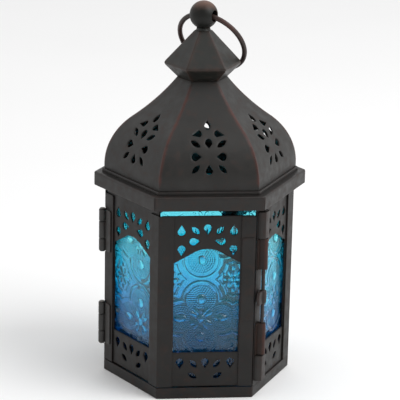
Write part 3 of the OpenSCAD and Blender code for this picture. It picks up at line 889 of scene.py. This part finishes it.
def build_ring(ball_z):
    """A bent wire whose ends meet opposite the ball."""
    ring_r, wire_r = 17, 1.2
    lean = 31                                    # degrees from upright
    gap, end_length = 0.9, 0.6                   # degrees of the ring that its gap and each end take
    first, last = gap / 2, 360 - gap / 2
    rings = []
    stops = np.concatenate([[first], np.linspace(first + end_length, last - end_length, 118), [last]])
    for i, a in enumerate(stops):
        thin = 0.82 if i in (0, len(stops) - 1) else 0.985 + 0.015 * math.sin(math.radians(5 * a))
        loop = polar(wire_r * thin, np.arange(0, 360, 22.5))
        out = ring_r + loop[:, 0]
        turn = math.radians(a - 90)
        worn = 0.35 + 0.35 * math.sin(math.radians(a * 3 + 40))
        rings.append(np.column_stack([out * math.cos(turn), -loop[:, 1], out * math.sin(turn) - ring_r,
                                      np.full(len(loop), worn)]))
    a = math.radians(lean)

    def hung(p):
        y, z = p[:, 1] * math.cos(a) - p[:, 2] * math.sin(a), p[:, 1] * math.sin(a) + p[:, 2] * math.cos(a)
        return spun(ring_axis_azimuth())(np.column_stack([p[:, 0], y, z])) + [0, 0, ball_z]

    publish("ring", loft(rings).placed(hung))


# ---- Hinges ----

def evenly_worn(points):
    return np.full(len(points), 0.35)


def build_hinges():
    """Each hinge has a fixed leaf with two knuckles, a door leaf with one between them, and a pin."""
    pin = (low("upper_hinge_pin") + high("upper_hinge_pin")) / 2
    axis = pin[:2]
    knuckle_r = axis[0] - low("upper_hinge_fixed_leaf")[0]
    bore_r, knuckle_h, play = 0.87, 6.1, 0.15
    leaf_t, leaf_w, corner = 0.6, 5.5, 0.8
    near, relief = 0.2, 1.6                      # from the corner to the leaf, and to its cut-outs
    for name, (bottom, top) in zip(("lower", "upper"), HINGES):
        ends = [(bottom, bottom + knuckle_h - play), (top - knuckle_h + play, top)]
        middle = [(bottom + knuckle_h + play, top - knuckle_h - play)]
        for part, k, end, own, other in (("fixed_leaf", 4, 1, ends, middle),
                                         ("door_leaf", 5, -1, middle, ends)):
            cuts = [(max(a - 2 * play, bottom), min(b + 2 * play, top), relief - near) for a, b in other]
            inner = np.array(notched_edge(HALF_SIDE - near, -1, (bottom, top), cuts))
            apart = np.linalg.norm(np.diff(inner, axis=0), axis=1) > 1e-6
            inner = inner[np.concatenate([[True], apart])]
            if part == "door_leaf":
                inner = inner[1:-1]              # its cut-outs reach the leaf's ends
            far = HALF_SIDE - near - leaf_w
            outer = np.concatenate([
                [far + corner, top - corner] + polar(corner, np.arange(90, 181, 22.5)),
                [far + corner, bottom + corner] + polar(corner, np.arange(180, 271, 22.5))])
            outline = np.concatenate([inner, outer]) * [end, 1]
            leaf_plate = plate(outline, thick=leaf_t, edge=0.12, lip=0.1).placed(on_side(k, leaf_t))
            circle = polar(knuckle_r, np.arange(0, 360, 12))
            bore = polar(bore_r, np.arange(0, 360, 20))
            knuckles = [plate(circle, [bore], thick=b - a, step=9, edge=0.2, lip=0.2, rim_wear=evenly_worn)
                        .placed(upright(b, axis)) for a, b in own]
            publish(f"{name}_hinge_{part}", joined([leaf_plate] + knuckles))
        pin_low, pin_high = low(name + "_hinge_pin")[2], high(name + "_hinge_pin")[2]
        head = [(1.0, 0.0, 1), (1.32, 0.12, 0.8), (1.4, 0.42, 0.4), (0.8, 0.5, 0)]
        profile = [(r, pin_low + z, w) for r, z, w in head]
        profile += [(r, pin_high - z, w) for r, z, w in head[::-1]]
        publish(name + "_hinge_pin", turned(profile, count=28).placed(lambda p: p + [*axis, 0]))


# ---- Latch ----

def build_latch():
    """The latch stands on the right-front side, measured along it from the door's corner."""
    rod_low, rod_high = low("latch_rod"), high("latch_rod")
    rod_at = (rod_low[:2] + rod_high[:2]) / 2
    rod_r = (rod_high[0] - rod_low[0]) / 2
    along, out, play = 4.7, 2.0, 0.07            # the rod's place on the side, and its play in the bores
    bore = polar(rod_r + play, np.arange(0, 360, 20)) + [along, out]

    def stood(section, spans, wear_and_painted_light):
        """Bored prisms of a plan section, one for each span of heights; wear is (sides, outer face)."""
        prisms = []
        for z0, z1 in spans:
            prism = plate(section, [bore], thick=z1 - z0, step=9, edge=0.15, lip=0.15,
                          rim_wear=lambda p: np.where(p[:, 1] > 3, wear_and_painted_light[1], wear_and_painted_light[0]))
            x, y, depth = prism.points.T
            prism.points = np.column_stack([x - HALF_SIDE, z1 - depth, -y])
            prisms.append(prism.placed(on_side(1)))
        return joined(prisms)

    keeper = np.array([[1.3, 0], [7.9, 0], [7.9, 1.3], [7.75, 1.7], [6.95, 3.2], [6.6, 3.5], [2.6, 3.5],
                       [2.25, 3.2], [1.45, 1.7], [1.3, 1.3]])
    publish("latch_keepers", stood(keeper, ((8.1, 20.8), (79.9, 92.9)), (0.2, 0.7)))
    round_side = polar(1.85, np.arange(-50, 181, 12)) + [along, out]
    sleeve = np.concatenate([[[1, 0], [along + 1.4, 0]], round_side, [[2.6, 0.6], [1, 0.6]]])
    publish("latch_sleeves", stood(sleeve, ((21.2, 37), (64.1, 79.5)), (0.3, 0.7)))
    z0, z1 = rod_low[2], rod_high[2]
    tip = 0.3
    rod = turned([(rod_r - tip, z0, 1), (rod_r, z0 + tip, 0.6), (rod_r, z1 - tip, 0.6),
                  (rod_r - tip, z1, 1)], count=24)
    publish("latch_rod", rod.placed(lambda p: p + [*rod_at, 0]))
    middle = (low("latch_tongue")[2] + high("latch_tongue")[2]) / 2
    tall = (high("latch_tongue")[2] - low("latch_tongue")[2]) / 2
    reach = along + 1.2
    lean = math.degrees(math.asin(tall / reach))
    flat = np.concatenate([polar(reach, np.linspace(180 - lean, 180 + lean, 13)), [[0, -tall], [0, tall]]])
    tongue = plate(flat + [along - HALF_SIDE, middle], thick=1.5, step=0.8, edge=0.3, lip=0.25)
    tongue = tongue.placed(on_side(1, out + 0.6))
    boss = turned([(1.3, -tall, 1), (1.75, 0.4 - tall, 0.8), (1.75, tall - 0.4, 0.8), (1.3, tall, 1)],
                  count=28)
    publish("latch_tongue", joined([tongue, boss.placed(lambda p: p + [*rod_at, middle])]))
    strike_low, strike_high = low("strike_plate"), high("strike_plate")
    strike = rectangle(strike_low[0], strike_high[0], strike_low[2], strike_high[2], 0.7)
    publish("strike_plate", plate(strike, thick=0.4, edge=0.1, lip=0.1).placed(on_side(0, 0.4)))


def build_cup():
    bottom, top, r = low("candle_cup")[2], high("candle_cup")[2], high("candle_cup")[0]
    wall = 0.6
    inner, floor = r - wall, bottom + wall
    publish("candle_cup", turned([
        (r - 1, bottom, 0.3), (r - 0.3, bottom + 0.1, 0.6), (r - 0.1, bottom + 0.5, 0.2),
        (r - 0.1, top - 1, 0.1), (r, top - 0.6, 0.8), (r, top - 0.2, 1), (r - 0.25, top, 1),
        (inner + 0.1, top - 0.2, 0.8), (inner, top - 0.8, 0.3), (inner, floor + 0.4, 0),
        (inner - 0.4, floor, 0)], count=96))


build_panels()
build_folded_strips()
build_jambs()
build_glass()
build_clips()
build_base()
build_collar()
build_dome()
build_cap()
build_ring(build_finial())
build_hinges()
build_latch()
build_cup()


# ---- Stage, light and camera ----

def build_floor():
    """A wide round pale floor."""
    angles = np.arange(0, 360, 5)
    rings = [np.column_stack([polar(r, angles), np.zeros(len(angles))]) for r in (20, 200, 1000, 6000)]
    n = len(angles)
    faces = [tuple(range(n))]
    for k in range(len(rings) - 1):
        a, b = k * n, (k + 1) * n
        faces += [(a + i, b + i, b + (i + 1) % n, a + (i + 1) % n) for i in range(n)]
    mesh = bpy.data.meshes.new("floor")
    mesh.from_pydata((np.concatenate(rings) * MM).tolist(), [], faces)
    material, tree, shader = nodes_of("pale_floor")
    place = tree.nodes.new("ShaderNodeTexCoord").outputs["Object"]
    pale = ramp(tree, noise(tree, place, 3), [(0.3, 0.90), (0.7, 0.92)])
    tree.links.new(pale, shader.inputs["Base Color"])
    shader.inputs["Roughness"].default_value = 0.9
    shader.inputs["Specular IOR Level"].default_value = 0.1
    mesh.materials.append(material)
    floor = bpy.data.objects.new("floor", mesh)
    bpy.context.scene.collection.objects.link(floor)


LANTERN_MIDDLE = Vector((0, 0, 0.09))


def soft_light(name, azimuth, elevation, distance, size, power):
    """An area light that faces the lantern from a direction given like a view's."""
    a, e = math.radians(azimuth), math.radians(elevation)
    away = Vector((math.sin(a) * math.cos(e), -math.cos(a) * math.cos(e), math.sin(e)))
    data = bpy.data.lights.new(name, "AREA")
    data.shape, data.size, data.energy = "DISK", size, power
    light = bpy.data.objects.new(name, data)
    light.location = LANTERN_MIDDLE + away * distance
    light.rotation_euler = (-away).to_track_quat("-Z", "Y").to_euler()
    bpy.context.scene.collection.objects.link(light)


def build_world():
    """A white room that is dimmer on the camera's side, so the front is the darkest face."""
    world = bpy.data.worlds.new("studio")
    world.use_nodes = True
    tree = world.node_tree
    direction = tree.nodes.new("ShaderNodeTexCoord").outputs["Generated"]
    split = tree.nodes.new("ShaderNodeSeparateXYZ")
    tree.links.new(direction, split.inputs[0])
    depth = math_node(tree, "MULTIPLY_ADD", split.outputs["Y"], 0.5)
    depth.node.inputs[2].default_value = 0.5
    tree.links.new(ramp(tree, depth, [(0.0, 0.35), (0.55, 1.0)]), tree.nodes["Background"].inputs["Color"])
    tree.nodes["Background"].inputs["Strength"].default_value = 1.0
    bpy.context.scene.world = world


def build_camera():
    """The camera fitted to the photograph: its direction, distance and focal length."""
    azimuth, elevation, roll = math.radians(-6.1), math.radians(17.4), math.radians(1.24)
    distance, target = 0.985, Vector((0.00012, 0, 0.08695))
    back = Vector((math.sin(azimuth) * math.cos(elevation), -math.cos(azimuth) * math.cos(elevation),
                   math.sin(elevation)))
    right = Vector((math.cos(azimuth), math.sin(azimuth), 0))
    up = back.cross(right)
    turned_right = right * math.cos(roll) + up * math.sin(roll)
    turned_up = up * math.cos(roll) - right * math.sin(roll)
    data = bpy.data.cameras.new("camera")
    data.lens, data.sensor_width = 183.05, 36
    camera = bpy.data.objects.new("camera", data)
    axes = Matrix((turned_right, turned_up, back)).transposed().to_4x4()
    camera.matrix_world = Matrix.Translation(target + back * distance) @ axes
    bpy.context.scene.collection.objects.link(camera)
    bpy.context.scene.camera = camera


build_floor()
build_world()
soft_light("key", 60, 45, 1.2, 0.9, 9)
build_camera()
bpy.context.scene.view_settings.view_transform = "Standard"
